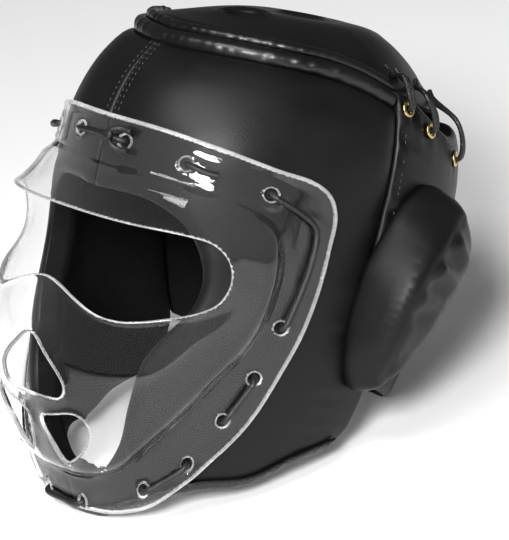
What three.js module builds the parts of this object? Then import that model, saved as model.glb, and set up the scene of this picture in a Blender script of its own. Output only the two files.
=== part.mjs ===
import * as THREE from "three";
import { mergeVertices } from "three/addons/utils/BufferGeometryUtils.js";

// Head guard with a clear face shield. Front is -Y, the wearer's left is +X, +Z is up, sizes are millimetres.
// Places on the guard are given as a turn (degrees from the front centre) and a rise (mm above the ear line).
const guardWidth = 200;
const guardDepth = 235;
const guardHeight = 260;
const restFlat = 4;
const gap = 0.35;

const padThickness = 17;
const rearThickness = 9;
const edgeRoll = 4.5;
const edgeRun = 11;

const shieldThickness = 2.4;
const shieldClearance = 0.8;
const bowlStep = 9;
const bowlRun = 9;
const bowlReach = 27;
const bowlEase = 30;
const laceHoleRadius = 3.6;
const laceRadius = 1.7;

const bandHeight = 8.5;
const bandThickness = 5;
const weltRadius = 2.6;
const crownThickness = 6;
const crownShoulder = 55;
const ventRadius = 11;

const earPadHeight = 30;
const earPadEdge = 3;
const earPadLift = 3 * gap;
const hemHeight = 8;
const hemThickness = 1.6;
const hemStart = 0.4;
const eyeletRadius = 4;
const eyeletBore = 2.2;
const eyeletBack = 1.2;
const eyeletLip = 1.5;
const strapWidth = 62;
const strapThickness = 3;

// The guard's outer surface: each section's height, half width, front and back reach and centre, as shares.
const sections = [
  { rise: -0.635, half: 0.27, front: 0.235, back: 0.17, centre: -0.085, square: 2.2 },
  { rise: -0.5, half: 0.365, front: 0.345, back: 0.29, centre: -0.068, square: 2.2 },
  { rise: -0.346, half: 0.44, front: 0.426, back: 0.4, centre: -0.051, square: 2.2 },
  { rise: -0.154, half: 0.485, front: 0.477, back: 0.45, centre: -0.034, square: 2.2 },
  { rise: 0.038, half: 0.5, front: 0.502, back: 0.477, centre: -0.034, square: 2.2 },
  { rise: 0.23, half: 0.5, front: 0.506, back: 0.49, centre: -0.034, square: 2.15 },
  { rise: 0.3, half: 0.495, front: 0.494, back: 0.485, centre: -0.034, square: 2.08 },
  { rise: 0.365, half: 0.48, front: 0.466, back: 0.468, centre: -0.034, square: 2.02 },
  { rise: 0.43, half: 0.452, front: 0.417, back: 0.434, centre: -0.034, square: 1.96 },
  { rise: 0.5, half: 0.415, front: 0.366, back: 0.383, centre: -0.034, square: 1.92 },
];
const mmPerDegree = guardWidth / 114;

function smoothColumn(rows, axis, key, at) {
  const slopes = rows.map((row, i) => {
    const before = rows[Math.max(i - 1, 0)];
    const after = rows[Math.min(i + 1, rows.length - 1)];
    return (after[key] - before[key]) / (after[axis] - before[axis]);
  });
  const last = rows.length - 1;
  const x = Math.min(Math.max(at, rows[0][axis]), rows[last][axis]);
  let i = 0;
  while (i < last - 1 && x > rows[i + 1][axis]) {
    i += 1;
  }
  const span = rows[i + 1][axis] - rows[i][axis];
  const t = (x - rows[i][axis]) / span;
  const start = (2 * t ** 3 - 3 * t ** 2 + 1) * rows[i][key] + (t ** 3 - 2 * t ** 2 + t) * span * slopes[i];
  const end = (3 * t ** 2 - 2 * t ** 3) * rows[i + 1][key] + (t ** 3 - t ** 2) * span * slopes[i + 1];
  return start + end;
}

function smoothStep(t) {
  const x = Math.min(Math.max(t, 0), 1);
  return x * x * (3 - 2 * x);
}

function skinPoint(turn, rise) {
  const share = rise / guardHeight;
  const half = smoothColumn(sections, "rise", "half", share) * guardWidth;
  const front = smoothColumn(sections, "rise", "front", share) * guardDepth;
  const back = smoothColumn(sections, "rise", "back", share) * guardDepth;
  const centre = smoothColumn(sections, "rise", "centre", share) * guardDepth;
  const square = smoothColumn(sections, "rise", "square", share);
  const angle = THREE.MathUtils.degToRad(turn);
  const side = Math.sign(Math.sin(angle)) * Math.abs(Math.sin(angle)) ** (2 / square);
  const ahead = Math.sign(Math.cos(angle)) * Math.abs(Math.cos(angle)) ** (2 / square);
  return new THREE.Vector3(half * side, centre - (ahead > 0 ? front : back) * ahead, rise);
}

function headPoint(turn, rise, out) {
  const step = 1;
  const across = skinPoint(turn + step, rise).sub(skinPoint(turn - step, rise));
  const upward = skinPoint(turn, rise + step).sub(skinPoint(turn, rise - step));
  const normal = across.cross(upward).normalize();
  return skinPoint(turn, rise).addScaledVector(normal, out);
}

// Flat patterns: an outline in mm is meshed once, and the sheet is then bent over a surface.
function pattern(points) {
  return points.map(([turn, rise]) => new THREE.Vector2(turn * mmPerDegree, rise));
}

function smoothOutline(points, closed, divisions) {
  const curve = new THREE.CatmullRomCurve3(
    points.map((p) => new THREE.Vector3(p.x, p.y, 0)), closed, "centripetal");
  const spaced = curve.getSpacedPoints(divisions);
  if (closed) {
    spaced.pop();
  }
  return spaced.map((p) => new THREE.Vector2(p.x, p.y));
}

function circle(centre, radius, count) {
  return Array.from({ length: count }, (_, i) => {
    const angle = (2 * Math.PI * i) / count;
    return new THREE.Vector2(centre.x + radius * Math.cos(angle), centre.y + radius * Math.sin(angle));
  });
}

function spread(loop, cell) {
  const points = [];
  loop.forEach((a, i) => {
    const b = loop[(i + 1) % loop.length];
    const count = Math.max(1, Math.ceil(a.distanceTo(b) / cell - 0.25));
    for (let k = 0; k < count; k += 1) {
      points.push(a.clone().lerp(b, k / count));
    }
  });
  return points;
}

function spreadLine(line, cell) {
  return spread(line, cell).slice(0, -Math.max(1, Math.ceil(line[line.length - 1].distanceTo(line[0]) / cell)));
}

function segmentDistance(p, a, b) {
  const along = b.clone().sub(a);
  const t = Math.min(Math.max(p.clone().sub(a).dot(along) / Math.max(along.lengthSq(), 1e-12), 0), 1);
  return p.distanceTo(a.clone().addScaledVector(along, t));
}

function edgeDistance(p, loops) {
  let nearest = Infinity;
  for (const loop of loops) {
    for (let i = 0; i < loop.length; i += 1) {
      nearest = Math.min(nearest, segmentDistance(p, loop[i], loop[(i + 1) % loop.length]));
    }
  }
  return nearest;
}

function insideLoop(p, loop) {
  let inside = false;
  for (let i = 0, j = loop.length - 1; i < loop.length; j = i, i += 1) {
    const a = loop[i];
    const b = loop[j];
    if (a.y > p.y !== b.y > p.y && p.x < ((b.x - a.x) * (p.y - a.y)) / (b.y - a.y) + a.x) {
      inside = !inside;
    }
  }
  return inside;
}

function insideSheet(p, outline, holes) {
  return insideLoop(p, outline) && !holes.some((hole) => insideLoop(p, hole));
}

function delaunay(points) {
  const far = 1e5;
  const all = [...points, new THREE.Vector2(-far, -far), new THREE.Vector2(far, -far), new THREE.Vector2(0, far)];
  const circleOf = (i, j, k) => {
    const [a, b, c] = [all[i], all[j], all[k]];
    const d = 2 * (a.x * (b.y - c.y) + b.x * (c.y - a.y) + c.x * (a.y - b.y));
    const [sa, sb, sc] = [a.lengthSq(), b.lengthSq(), c.lengthSq()];
    const x = (sa * (b.y - c.y) + sb * (c.y - a.y) + sc * (a.y - b.y)) / d;
    const y = (sa * (c.x - b.x) + sb * (a.x - c.x) + sc * (b.x - a.x)) / d;
    return { i, j, k, x, y, reach: (a.x - x) ** 2 + (a.y - y) ** 2 };
  };
  let triangles = [circleOf(points.length, points.length + 1, points.length + 2)];
  points.forEach((p, index) => {
    const edges = new Map();
    const kept = [];
    for (const t of triangles) {
      if ((p.x - t.x) ** 2 + (p.y - t.y) ** 2 < t.reach * (1 - 1e-12)) {
        for (const [a, b] of [[t.i, t.j], [t.j, t.k], [t.k, t.i]]) {
          if (!edges.delete(`${b},${a}`)) {
            edges.set(`${a},${b}`, [a, b]);
          }
        }
      } else {
        kept.push(t);
      }
    }
    for (const [a, b] of edges.values()) {
      kept.push(circleOf(a, b, index));
    }
    triangles = kept;
  });
  return triangles.filter((t) => Math.max(t.i, t.j, t.k) < points.length).map((t) => [t.i, t.j, t.k]);
}

function meshSheet({ outline, holes = [], cell, rings = [], guides = [] }) {
  const loops = [spread(outline, cell), ...holes.map((hole) => spread(hole, cell))];
  const wobble = (i) => 1e-4 * Math.sin(12.9898 * i);
  const points = loops.flat();
  for (const guide of guides) {
    for (const p of guide) {
      if (insideSheet(p, outline, holes) && edgeDistance(p, loops) > cell * 0.4) {
        points.push(p);
      }
    }
  }
  const guided = points.slice(loops.flat().length);
  const last = rings.length > 0 ? rings[rings.length - 1] : 0;
  for (const ring of rings) {
    for (const loop of loops) {
      for (let i = 0; i < loop.length; i += 1) {
        const before = loop[(i + loop.length - 1) % loop.length];
        const after = loop[(i + 1) % loop.length];
        const side = new THREE.Vector2(after.y - before.y, before.x - after.x).normalize();
        for (const sign of [1, -1]) {
          const p = loop[i].clone().addScaledVector(side, sign * ring);
          const clear = edgeDistance(p, loops) > ring * 0.93;
          const apart = points.every((q) => q.distanceTo(p) > Math.min(ring, cell) * 0.45);
          if (clear && apart && insideSheet(p, outline, holes)) {
            points.push(p);
          }
        }
      }
    }
  }
  const box = new THREE.Box2().setFromPoints(outline);
  const rowStep = cell * Math.sqrt(0.75);
  for (let row = 0; box.min.y + row * rowStep < box.max.y; row += 1) {
    for (let column = 0; box.min.x + column * cell < box.max.x; column += 1) {
      const x = box.min.x + (column + (row % 2) / 2) * cell;
      const p = new THREE.Vector2(x, box.min.y + row * rowStep);
      const clear = edgeDistance(p, loops) > last + 0.55 * cell;
      if (clear && insideSheet(p, outline, holes) && guided.every((q) => q.distanceTo(p) > cell * 0.6)) {
        points.push(p);
      }
    }
  }
  const spreadPoints = points.map((p, i) => new THREE.Vector2(p.x + wobble(i), p.y + wobble(i + 0.5)));
  const triangles = delaunay(spreadPoints).filter(([i, j, k]) => {
    const middle = points[i].clone().add(points[j]).add(points[k]).divideScalar(3);
    return insideSheet(middle, loops[0], loops.slice(1));
  }).map(([i, j, k]) => {
    const [a, b, c] = [points[i], points[j], points[k]];
    const area = (b.x - a.x) * (c.y - a.y) - (c.x - a.x) * (b.y - a.y);
    return area > 0 ? [i, j, k] : [i, k, j];
  });
  return { points, triangles, distance: points.map((p) => edgeDistance(p, loops)) };
}

function solidGeometry(positions, triangles) {
  const geometry = new THREE.BufferGeometry();
  geometry.setAttribute("position", new THREE.Float32BufferAttribute(positions.flatMap((p) => p.toArray()), 3));
  geometry.setIndex(triangles.flat());
  const merged = mergeVertices(geometry, 1e-3);
  merged.computeVertexNormals();
  return merged;
}

// Bends a meshed sheet into a closed solid. The place function gives the outer and the inner point of each vertex.
function bend(sheet, place) {
  const count = sheet.points.length;
  const outer = sheet.points.map((p, i) => place(p, sheet.distance[i], true));
  const inner = sheet.points.map((p, i) => place(p, sheet.distance[i], false));
  const triangles = [];
  const open = new Map();
  for (const [i, j, k] of sheet.triangles) {
    triangles.push([i, j, k], [i + count, k + count, j + count]);
    for (const [a, b] of [[i, j], [j, k], [k, i]]) {
      if (!open.delete(`${b},${a}`)) {
        open.set(`${a},${b}`, [a, b]);
      }
    }
  }
  for (const [a, b] of open.values()) {
    triangles.push([b, a, a + count], [b, a + count, b + count]);
  }
  return solidGeometry([...outer, ...inner], triangles);
}

function mirrored(geometry) {
  const copy = geometry.clone();
  copy.scale(-1, 1, 1);
  const order = copy.index.array.slice();
  for (let i = 0; i < order.length; i += 3) {
    [order[i + 1], order[i + 2]] = [order[i + 2], order[i + 1]];
  }
  copy.setIndex(new THREE.BufferAttribute(order, 1));
  copy.computeVertexNormals();
  return copy;
}

const guard = new THREE.Group();
const rest = new THREE.Group();
rest.add(guard);

const leather = { color: 0x1c1c1e, roughness: 0.5, metalness: 0 };
const clear = { color: 0xdfe4e6, roughness: 0.05, metalness: 0, transparent: true, opacity: 0.35 };
const brass = { color: 0xb08a3c, roughness: 0.3, metalness: 1 };
const cord = { color: 0x0c0c0d, roughness: 0.7, metalness: 0 };

function addPiece(name, geometry, look) {
  const mesh = new THREE.Mesh(geometry, new THREE.MeshStandardMaterial(look));
  mesh.name = name;
  guard.add(mesh);
}

function addPair(name, geometry, look) {
  addPiece(`${name}_left`, geometry, look);
  addPiece(`${name}_right`, mirrored(geometry), look);
}

// Padded pieces on the head surface: the faces roll in towards the edge.
function roll(distance, depth) {
  return depth * (1 - Math.min(distance / edgeRun, 1)) ** 2;
}

function padded(thickness) {
  const depth = Math.min(edgeRoll, thickness / 3);
  return (p, distance, outer) => {
    const sink = roll(distance, depth);
    return headPoint(p.x / mmPerDegree, p.y, outer ? -sink : sink - thickness);
  };
}

// Key heights and turns, as shares of the guard's named sizes.
const high = (share) => share * guardHeight;
const bandEdge = [
  { turn: 0, rise: 0.427 },
  { turn: 58, rise: 0.443 },
  { turn: 75, rise: 0.434 },
  { turn: 92, rise: 0.41 },
];
const bandLow = (turn) => high(smoothColumn(bandEdge, "turn", "rise", turn));
const seamTurn = 92;
const jawTurn = 106;
const backTurn = 172;
const seam = gap / mmPerDegree;

const faceOpening = [
  [0, 0.1], [22, 0.1], [36, 0.06], [43, -0.02], [42, -0.09], [35, -0.16], [29, -0.23], [27, -0.33], [25.5, -0.42],
  [18, -0.49], [8, -0.515], [0, -0.52],
].map(([turn, share]) => [Math.max(turn, seam), high(share)]);
const jawRows = [
  { turn: 0, rise: -0.602 },
  { turn: 20, rise: -0.588 },
  { turn: 40, rise: -0.535 },
  { turn: 60, rise: -0.48 },
  { turn: 79, rise: -0.445 },
  { turn: 92, rise: -0.375 },
  { turn: jawTurn - 2, rise: -0.33 },
];
const jawLine = jawRows.map(({ turn, rise }) => [Math.max(turn, seam), high(rise)]);

function curveThrough(points, divisions) {
  return smoothOutline(pattern(points), false, divisions);
}

const topLine = [0, 14, 28, 42, 56, 70, 82].map((turn) => [Math.max(turn, seam), bandLow(turn)]);
const sideOutline = [
  ...pattern(topLine).reverse(),
  ...curveThrough([...faceOpening], 20),
  ...curveThrough(jawLine, 16),
  ...pattern([[jawTurn + 1, high(-0.28)], [jawTurn, high(-0.2)], [seamTurn + 6, high(-0.05)], [seamTurn, high(0.1)]]),
  ...pattern([[seamTurn, bandLow(seamTurn)]]),
];
const sideSheet = meshSheet({ outline: sideOutline, cell: 15.5, rings: [3.5, 9] });
addPair("side_panel", bend(sideSheet, padded(padThickness)), leather);

// Rear panels: from the side seam to the centre-back opening, with a slanted top edge that carries the eyelets.
const eyelets = [
  { turn: 95.8, share: 0.412 },
  { turn: 107, share: 0.378 },
  { turn: 126, share: 0.328 },
];
const lacedEdge = [
  [seamTurn, 0.448], [100, 0.436], [108, 0.41], [116, 0.386], [124, 0.374], [136, 0.382], [150, 0.395],
  [backTurn, 0.395],
];
const rearOutline = [
  ...pattern(lacedEdge.map(([turn, share]) => [Math.max(turn, seamTurn + 2 * seam), high(share)])),
  ...pattern([[backTurn, 0], [backTurn, -0.225], [156, -0.235], [140, -0.225], [122, -0.205], [jawTurn + 4, -0.19]]
    .map(([turn, share]) => [turn, high(share)])),
  ...pattern([[jawTurn + 2 * seam, -0.17], [seamTurn + 6 + 2 * seam, -0.05], [seamTurn + 2 * seam, 0.1]]
    .map(([turn, share]) => [turn, high(share)])),
].reverse();
const eyeletSpots = eyelets.map(({ turn, share }) => new THREE.Vector2(turn * mmPerDegree, high(share)));
const rearSheet = meshSheet({
  outline: rearOutline,
  holes: eyeletSpots.map((spot) => circle(spot, eyeletRadius, 7)),
  cell: 16,
  rings: [4],
});
addPair("rear_panel", bend(rearSheet, padded(rearThickness)), leather);

// Collar between the panels and the crown, and the piping above it.
const collarTop = bandEdge.map(({ turn, rise }) => ({ turn, rise: rise + (bandHeight + gap) / guardHeight }));
const collarEnd = seamTurn - 1;

function ringStrip(turns, section) {
  const rows = turns.map((turn) => section(turn));
  const size = rows[0].length;
  const triangles = [];
  for (let r = 0; r + 1 < rows.length; r += 1) {
    for (let i = 0; i < size; i += 1) {
      const a = r * size + i;
      const b = r * size + ((i + 1) % size);
      triangles.push([a, b, b + size], [a, b + size, a + size]);
    }
  }
  for (let i = 1; i + 1 < size; i += 1) {
    triangles.push([0, i + 1, i]);
    const end = (rows.length - 1) * size;
    triangles.push([end, end + i, end + i + 1]);
  }
  return solidGeometry(rows.flat(), triangles);
}

function range(from, to, count) {
  return Array.from({ length: count + 1 }, (_, i) => from + ((to - from) * i) / count);
}

const weltInset = weltRadius + 1.5;
const collarTurns = range(-collarEnd, collarEnd, 30);
const collarGeometry = ringStrip(collarTurns, (turn) => {
  const low = bandLow(Math.abs(turn)) + gap;
  const top = high(smoothColumn(collarTop, "turn", "rise", Math.abs(turn)));
  return [
    headPoint(turn, low, -edgeRoll), headPoint(turn, low + bandHeight * 0.35, -1.5),
    headPoint(turn, top - bandHeight * 0.25, -1), headPoint(turn, top, -2.5),
    headPoint(turn, top, -weltInset - weltRadius + gap), headPoint(turn, low, -edgeRoll - bandThickness),
  ].reverse();
});
addPiece("crown_band", collarGeometry, leather);

const weltGeometry = ringStrip(collarTurns, (turn) => {
  const middle = high(smoothColumn(collarTop, "turn", "rise", Math.abs(turn))) + weltRadius + gap;
  return range(0, 1, 6).slice(0, -1).map((share) => {
    const angle = 2 * Math.PI * share;
    const out = -weltInset + weltRadius * Math.cos(angle);
    return headPoint(turn, middle + weltRadius * Math.sin(angle), out);
  }).reverse();
});
addPiece("crown_welt", weltGeometry, leather);

// Crown: a dome inside the piping, with two vents and a tail that slopes down behind.
const crest = [
  { y: -0.42, rise: 0.488, rim: 0.482 },
  { y: -0.255, rise: 0.525, rim: 0.48 },
  { y: 0, rise: 0.55, rim: 0.452 },
  { y: 0.14, rise: 0.556, rim: 0.43 },
  { y: 0.22, rise: 0.545, rim: 0.425 },
  { y: 0.29, rise: 0.515, rim: 0.422 },
  { y: 0.34, rise: 0.475, rim: 0.4 },
  { y: 0.4, rise: 0.41, rim: 0.375 },
];
const crownSide = [88, 76, 64, 52, 40, 28, 14].map((turn) => {
  const middle = high(smoothColumn(collarTop, "turn", "rise", turn)) + weltRadius + gap;
  const p = headPoint(turn, middle, -weltInset - weltRadius - 2 * gap);
  return new THREE.Vector2(p.x, p.y);
});
const crownFront = headPoint(0, high(0.476), -weltInset - weltRadius - 2 * gap);
const tailSide = [[0, 0.362], [0.12, 0.356], [0.205, 0.32], [0.28, 0.24], [0.345, 0.15], [0.385, 0.06]]
  .map(([x, y]) => new THREE.Vector2(x * guardWidth, y * guardDepth));
const crownLeft = [...tailSide.slice(1), ...crownSide];
const crownOutline = smoothOutline([
  tailSide[0],
  ...crownLeft,
  new THREE.Vector2(0, crownFront.y),
  ...crownLeft.map((p) => new THREE.Vector2(-p.x, p.y)).reverse(),
], true, 46);
const vents = [-0.213, -0.034].map((share) => new THREE.Vector2(0, share * guardDepth));

function crownHeight(p) {
  const rim = high(smoothColumn(crest, "y", "rim", p.y / guardDepth));
  const top = high(smoothColumn(crest, "y", "rise", p.y / guardDepth));
  const inside = Math.min(edgeDistance(p, [crownOutline]) / crownShoulder, 1);
  return rim + (top - rim) * (1 - (1 - inside) ** 2);
}

const crownSheet = meshSheet({
  outline: crownOutline,
  holes: vents.map((vent) => circle(vent, ventRadius, 12)),
  cell: 15,
  rings: [5],
});
addPiece("crown_panel", bend(crownSheet, (p, distance, outer) =>
  new THREE.Vector3(p.x, p.y, crownHeight(p) - (outer ? 0 : crownThickness))), leather);

// Ear pads: rolled up from the front seam to a rounded crease, and sloping away behind it.
const earOutline = curveThrough([
  [104.7, 0.264], [99.7, 0.243], [95, 0.2], [92.5, 0.155], [90, 0.09], [89.2, 0], [89.6, -0.085], [91.8, -0.15],
  [96, -0.19], [103, -0.184], [111, -0.14], [119.5, -0.07], [126.5, 0.03], [129.5, 0.11], [127.5, 0.185],
  [120, 0.235], [112, 0.258], [104.7, 0.264],
].map(([turn, share]) => [turn, high(share)]), 40).slice(0, -1);
const earCrease = [
  { rise: -0.15, turn: 98, height: 0.5 },
  { rise: -0.125, turn: 97, height: 0.62 },
  { rise: -0.077, turn: 95, height: 0.8 },
  { rise: -0.016, turn: 94, height: 0.94 },
  { rise: 0.047, turn: 94.5, height: 1 },
  { rise: 0.117, turn: 98.5, height: 0.97 },
  { rise: 0.17, turn: 103.5, height: 0.87 },
  { rise: 0.209, turn: 109, height: 0.72 },
];
const earLine = pattern(earCrease.map(({ rise, turn }) => [turn, high(rise)]));

function lineDistance(p, line) {
  let nearest = Infinity;
  for (let i = 0; i + 1 < line.length; i += 1) {
    nearest = Math.min(nearest, segmentDistance(p, line[i], line[i + 1]));
  }
  return nearest;
}

const earSheet = meshSheet({ outline: earOutline, cell: 11, rings: [3], guides: [spreadLine(earLine, 9)] });
addPair("ear_pad", bend(earSheet, (p, distance, outer) => {
  const turn = p.x / mmPerDegree;
  if (!outer) {
    return headPoint(turn, p.y, earPadLift);
  }
  const across = distance / (distance + lineDistance(p, earLine) + 1e-6);
  const height = earPadHeight * smoothColumn(earCrease, "rise", "height", p.y / guardHeight);
  return headPoint(turn, p.y, earPadLift + earPadEdge + height * Math.sin((across * Math.PI) / 2) ** 0.8);
}), leather);

// Face shield: a flange that follows the padding and a bowl that stands out from it.
const shieldRim = [
  [0, 0.256], [20, 0.256], [40, 0.247], [58, 0.232], [68, 0.225], [74, 0.205], [77.3, 0.165], [78, 0.09],
  [78, 0], [76.5, -0.09], [74, -0.17], [70, -0.29], [66, -0.352], [61, -0.405], [54, -0.465], [45, -0.52],
  [30, -0.556], [14, -0.569], [0, -0.572],
];
const bowlEdge = [
  [0, 0.165], [30, 0.165], [52, 0.15], [62, 0.12], [66, 0.05], [66, -0.05], [62, -0.15], [56.5, -0.22],
  [51, -0.29], [43, -0.375], [30, -0.47], [14, -0.51], [0, -0.515],
];
const eyeHole = [
  [0, 0.055], [21, 0.055], [38, 0.06], [44.5, 0.055], [49, 0.03], [50.8, -0.01], [49, -0.055], [45, -0.08],
  [38, -0.104], [25, -0.136], [18, -0.136], [11, -0.118], [5, -0.1], [0, -0.092],
];
const bowl = [
  { rise: -0.585, centre: 0.02, side: 0.2 },
  { rise: -0.47, centre: 0.25, side: 0.9 },
  { rise: -0.345, centre: 0.66, side: 1 },
  { rise: -0.23, centre: 0.85, side: 1 },
  { rise: -0.14, centre: 0.76, side: 1 },
  { rise: -0.04, centre: 0.5, side: 1 },
  { rise: 0.05, centre: 0.74, side: 1 },
  { rise: 0.1, centre: 0.5, side: 0.7 },
  { rise: 0.19, centre: 0.22, side: 0.25 },
  { rise: 0.256, centre: 0, side: 0 },
];
const noseHole = [[0, -0.215], [5, -0.245], [12, -0.3], [11, -0.322], [5, -0.33], [0, -0.331]];
const mouthHole = [
  [3, -0.38], [9, -0.362], [16.5, -0.35], [20.5, -0.37], [18, -0.415], [13, -0.45], [8.6, -0.463], [5, -0.43],
];
const laceHoles = [
  [9.5, 0.208], [31, 0.197], [57, 0.178], [69, -0.088], [65.6, -0.204], [60.5, -0.305], [53.5, -0.412],
  [40, -0.488], [11, -0.555],
];

function bothSides(points) {
  const left = pattern(points.map(([turn, share]) => [turn, high(share)]));
  const right = left.slice(1, -1).reverse().map((p) => new THREE.Vector2(-p.x, p.y));
  return [...left, ...right];
}

const bowlLoop = smoothOutline(bothSides(bowlEdge), true, 64);

function shieldPoint(turn, rise, out) {
  const p = new THREE.Vector2(turn * mmPerDegree, rise);
  const inside = insideLoop(p, bowlLoop) ? edgeDistance(p, [bowlLoop]) : 0;
  const centre = smoothColumn(bowl, "rise", "centre", rise / guardHeight) * bowlReach;
  const side = smoothColumn(bowl, "rise", "side", rise / guardHeight) * bowlStep;
  const across = Math.cos(THREE.MathUtils.degToRad(Math.min(Math.abs(turn) * 1.3, 90))) ** 1.2;
  const step = Math.min(side, centre) + Math.max(side - centre, 0) * (1 - across);
  const lift = step * smoothStep(inside / bowlRun) + Math.max(centre - side, 0) * across * smoothStep(inside / bowlEase);
  const hemTop = high(smoothColumn(jawRows, "turn", "rise", Math.abs(turn))) + hemHeight;
  const overHem = (hemThickness + gap) * smoothStep((hemTop + 2 * hemHeight - rise) / (1.5 * hemHeight));
  return headPoint(turn, rise, shieldClearance + overHem + lift + out);
}

function inset(loop, distance) {
  return loop.map((p, i) => {
    const before = loop[(i + loop.length - 1) % loop.length];
    const after = loop[(i + 1) % loop.length];
    const side = new THREE.Vector2(before.y - after.y, after.x - before.x).normalize();
    return p.clone().addScaledVector(side, insideLoop(p.clone().addScaledVector(side, 0.1), loop) ? distance : -distance);
  });
}

const laceSpots = laceHoles.flatMap(([turn, share]) =>
  [turn, -turn].map((side) => new THREE.Vector2(side * mmPerDegree, high(share))));
const shieldSheet = meshSheet({
  outline: smoothOutline(bothSides(shieldRim), true, 70),
  holes: [
    smoothOutline(bothSides(eyeHole), true, 48),
    smoothOutline(bothSides(noseHole), true, 16),
    ...[1, -1].map((side) => smoothOutline(
      pattern(mouthHole.map(([turn, share]) => [turn * side, high(share)])), true, 16)),
    ...laceSpots.map((spot) => circle(spot, laceHoleRadius, 6)),
  ],
  guides: [bowlLoop, inset(bowlLoop, bowlRun)],
  cell: 11,
});
addPiece("face_shield", bend(shieldSheet, (p, distance, outer) =>
  shieldPoint(p.x / mmPerDegree, p.y, outer ? shieldThickness : 0)), clear);

// Round section swept through a short list of points.
function sweep(points, radius, sides, steps) {
  const path = new THREE.CatmullRomCurve3(points, false, "centripetal");
  const section = new THREE.Shape(circle(new THREE.Vector2(0, 0), radius, sides));
  const geometry = new THREE.ExtrudeGeometry(section, { extrudePath: path, steps, curveSegments: 1 });
  geometry.deleteAttribute("normal");
  geometry.deleteAttribute("uv");
  const merged = mergeVertices(geometry, 1e-3);
  merged.computeVertexNormals();
  return merged;
}

// Lace runs over the shield: turn, height share and height above the shield, in cord radii.
function overShield(route) {
  return sweep(route.map(([turn, share, lift]) =>
    shieldPoint(turn, high(share), shieldThickness + lift * laceRadius + gap)), laceRadius, 5, route.length * 2);
}

addPiece("shield_lace_brow", overShield([
  [-9.5, 0.208, 0], [-7.5, 0.208, 1.2], [0, 0.211, 1.1], [7.5, 0.208, 1.2], [9.5, 0.208, 0],
]), cord);
addPair("shield_lace_knot", overShield([
  [31, 0.197, 0], [33, 0.196, 1.4], [37, 0.19, 1.8], [41, 0.19, 1],
]), cord);
addPair("shield_lace_temple", overShield([
  [57, 0.178, 0], [58.5, 0.174, 1.1], [68, 0.148, 1], [71.5, 0.128, 1], [72.6, 0.06, 1],
  [71.2, -0.03, 1], [69.6, -0.08, 1.2], [69, -0.088, 0],
]), cord);
addPair("shield_lace_cheek", overShield([
  [65.6, -0.204, 0], [65.3, -0.212, 1.2], [63.2, -0.256, 1], [60.9, -0.297, 1.2], [60.5, -0.305, 0],
]), cord);
addPair("shield_lace_jaw", overShield([
  [53.5, -0.412, 0], [52.7, -0.418, 1.2], [47.5, -0.452, 1], [41, -0.484, 1.2], [40, -0.488, 0],
]), cord);
addPiece("shield_lace_chin", overShield([
  [-11, -0.555, 0], [-9, -0.556, 1.2], [0, -0.558, 1], [9, -0.556, 1.2], [11, -0.555, 0],
]), cord);

// Brass eyelets in the rear panels.
const eyeletProfile = [
  [eyeletBore, -eyeletBack], [eyeletRadius - 2 * gap, -eyeletBack], [eyeletRadius - 2 * gap, gap],
  [eyeletRadius + 2 * gap, gap], [eyeletRadius + gap, eyeletLip], [eyeletBore + 2 * gap, eyeletLip],
  [eyeletBore, eyeletLip / 2], [eyeletBore, -eyeletBack],
].map(([radius, height]) => new THREE.Vector2(radius, height));

function eyelet(turn, share) {
  const geometry = new THREE.LatheGeometry(eyeletProfile, 10);
  geometry.deleteAttribute("normal");
  geometry.deleteAttribute("uv");
  const merged = mergeVertices(geometry, 1e-3);
  const seat = headPoint(turn, high(share), 0);
  const normal = headPoint(turn, high(share), 1).sub(seat);
  merged.applyQuaternion(new THREE.Quaternion().setFromUnitVectors(new THREE.Vector3(0, 1, 0), normal));
  merged.translate(seat.x, seat.y, seat.z);
  merged.computeVertexNormals();
  return merged;
}

eyelets.forEach(({ turn, share }, i) => addPair(`eyelet_${i + 1}`, eyelet(turn, share), brass));

// Rear lace strands: from the crown's tail down into the eyelets.
function overCrown([x, y]) {
  const p = new THREE.Vector2(x * guardWidth, y * guardDepth);
  return new THREE.Vector3(p.x, p.y, crownHeight(p) + laceRadius + 3 * gap);
}

const strands = [
  { crown: [[0.35, 0.03], [0.37, 0.04]], over: [[93.2, 0.464, 5], [95, 0.438, 5]] },
  { crown: [[0.315, 0.13], [0.335, 0.125]], over: [[104, 0.44, 4.5], [106.5, 0.403, 5.5]] },
  { crown: [[0.24, 0.25], [0.265, 0.245]], over: [[125, 0.397, 4.5], [126.2, 0.354, 5.5]] },
];
strands.forEach(({ crown, over }, i) => {
  const { turn, share } = eyelets[i];
  const down = [...over, [turn, share, 3.4], [turn, share, 0]];
  const route = [...crown.map(overCrown), ...down.map(([t, s, out]) => headPoint(t, high(s), out))];
  addPair(`rear_lace_${i + 1}`, sweep(route, laceRadius, 5, 12), cord);
});

// Closure strap across the back opening.
const strapMiddle = high(0.092);
const strapEnd = 134;
const strapLift = 2 * gap;
const strapGeometry = ringStrip(range(strapEnd, 360 - strapEnd, 14), (turn) => {
  const low = strapMiddle - strapWidth / 2;
  const top = strapMiddle + strapWidth / 2;
  return [
    ...range(low, top, 4).map((rise) => headPoint(turn, rise, strapLift + strapThickness)),
    ...range(top, low, 4).map((rise) => headPoint(turn, rise, strapLift)),
  ].reverse();
});
addPiece("back_strap", strapGeometry, leather);

// Binding along the jaw's lower edge.
const jawEdge = curveThrough(jawLine, 20).map((p) => [p.x / mmPerDegree, p.y]);
const hemRows = jawEdge.slice(0, -1);

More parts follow.
